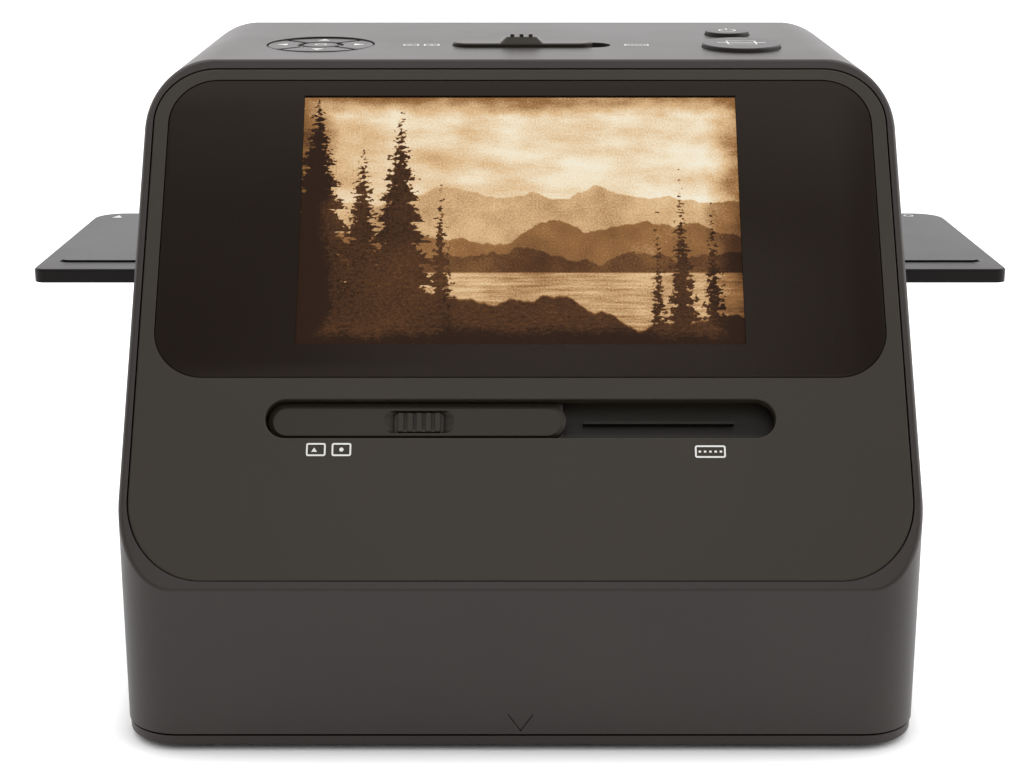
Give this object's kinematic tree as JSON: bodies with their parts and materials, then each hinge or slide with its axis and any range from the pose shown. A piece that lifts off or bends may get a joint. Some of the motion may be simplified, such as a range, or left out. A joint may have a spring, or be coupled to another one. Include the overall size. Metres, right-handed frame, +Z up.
{
  "type": "film and photo scanner",
  "caption": "Free-standing film and photo scanner with a sloping display front, side-to-side film holder, sliding lamp, top keys and a lift-off base.",
  "frame": {"origin": "on the table under the middle of the body", "axes": "+X to the user's right, along the film holder; +Y away from the user; +Z up"},
  "size_m": [0.242, 0.15, 0.1577],
  "materials": {
    "charcoal_shell": "fine matte charcoal, lightly grained",
    "charcoal_panel": "fine matte charcoal front panel",
    "slider_plastic": "satin black",
    "key_plastic": "satin charcoal",
    "black_plastic": "matte black",
    "bush_plastic": "white low-friction plastic",
    "holder_plastic": "satin black",
    "rubber_foot": "soft black rubber",
    "black_foam": "black foam and flock",
    "window_glass": "tinted gloss window",
    "display_face": "display face with a warm picture",
    "ribbon": "flat white ribbon",
    "circuit_board": "green solder mask",
    "diffuser": "milky white",
    "sensor": "dark sensor face",
    "lens_glass": "coated glass",
    "lens_metal": "black anodised",
    "chassis_steel": "black painted sheet",
    "rail_steel": "bright ground steel",
    "screw_steel": "black zinc",
    "socket_steel": "plated steel shell"
  },
  "bodies": {
    "base": {"base_plate": "charcoal_shell", "base_feet": "rubber_foot", "locating_pegs": "black_plastic", "print_tray": "black_plastic", "print_mat": "black_foam"},
    "light_slider": {"front_slider": "slider_plastic", "light_carriage": "black_plastic", "carriage_bushes": "bush_plastic", "film_light_board": "circuit_board", "film_diffuser": "diffuser"},
    "mode_knob": {"mode_knob": "slider_plastic"},
    "film_holder": {"holder_tray": "holder_plastic", "holder_lid": "holder_plastic", "holder_hinge_pins": "rail_steel"},
    "nav_right": {"nav_right": "key_plastic"},
    "nav_up": {"nav_up": "key_plastic"},
    "nav_left": {"nav_left": "key_plastic"},
    "nav_down": {"nav_down": "key_plastic"},
    "nav_centre": {"nav_centre": "key_plastic"},
    "power_button": {"power_button": "key_plastic"},
    "scan_button": {"scan_button": "key_plastic"},
    "housing": {"main_housing": "charcoal_shell", "rear_cover": "charcoal_shell", "cover_screws": "screw_steel", "front_bezel": "charcoal_panel", "display_window": "window_glass", "display_gasket": "black_foam", "display_panel": "display_face", "display_frame": "black_plastic", "display_cable": "ribbon", "slider_track": "black_plastic", "chassis": "chassis_steel", "light_rails": "rail_steel", "rail_brackets": "black_plastic", "film_guides": "black_plastic", "guide_springs": "rail_steel", "slot_seals": "black_foam", "lamp_brackets": "black_plastic", "lamp_boards": "circuit_board", "lamp_diffusers": "diffuser", "camera_bracket": "chassis_steel", "camera_board": "circuit_board", "camera_sensor": "sensor", "camera_screws": "screw_steel", "camera_cable": "ribbon", "lens_holder": "black_plastic", "lens_barrel": "lens_metal", "lens_glass": "lens_glass", "light_hood": "black_plastic", "key_board": "circuit_board", "key_board_screws": "screw_steel", "key_switches": "black_plastic", "key_cable": "ribbon", "mode_switch": "black_plastic", "main_board": "circuit_board", "board_screws": "screw_steel", "usb_socket": "socket_steel", "hdmi_socket": "socket_steel", "card_socket": "socket_steel"}
  },
  "joints": [
    {"name": "housing_lift", "type": "slide", "parent": "base", "child": "housing", "axis": [0, 0, 1], "range_m": [0, 0.06]},
    {"name": "light_slide", "type": "slide", "parent": "housing", "child": "light_slider", "axis": [1, 0, 0], "range_m": [0, 0.0489]},
    {"name": "mode_slide", "type": "slide", "parent": "housing", "child": "mode_knob", "axis": [1, 0, 0], "range_m": [0, 0.0045]},
    {"name": "film_holder_slide", "type": "slide", "parent": "housing", "child": "film_holder", "axis": [1, 0, 0], "range_m": [-0.19, 0.19]},
    {"name": "nav_right_press", "type": "slide", "parent": "housing", "child": "nav_right", "axis": [0, 0.0558, -0.9984], "range_m": [0, 0.0006], "stiffness_N_per_m": 2000, "springref_m": -0.0002},
    {"name": "nav_up_press", "type": "slide", "parent": "housing", "child": "nav_up", "axis": [0, 0.0558, -0.9984], "range_m": [0, 0.0006], "stiffness_N_per_m": 2000, "springref_m": -0.0002},
    {"name": "nav_left_press", "type": "slide", "parent": "housing", "child": "nav_left", "axis": [0, 0.0558, -0.9984], "range_m": [0, 0.0006], "stiffness_N_per_m": 2000, "springref_m": -0.0002},
    {"name": "nav_down_press", "type": "slide", "parent": "housing", "child": "nav_down", "axis": [0, 0.0558, -0.9984], "range_m": [0, 0.0006], "stiffness_N_per_m": 2000, "springref_m": -0.0002},
    {"name": "nav_centre_press", "type": "slide", "parent": "housing", "child": "nav_centre", "axis": [0, 0.0558, -0.9984], "range_m": [0, 0.0006], "stiffness_N_per_m": 2000, "springref_m": -0.0002},
    {"name": "power_button_press", "type": "slide", "parent": "housing", "child": "power_button", "axis": [0, 0.0558, -0.9984], "range_m": [0, 0.0006], "stiffness_N_per_m": 2000, "springref_m": -0.0002},
    {"name": "scan_button_press", "type": "slide", "parent": "housing", "child": "scan_button", "axis": [0, 0.0558, -0.9984], "range_m": [0, 0.0006], "stiffness_N_per_m": 2000, "springref_m": -0.0002}
  ]
}
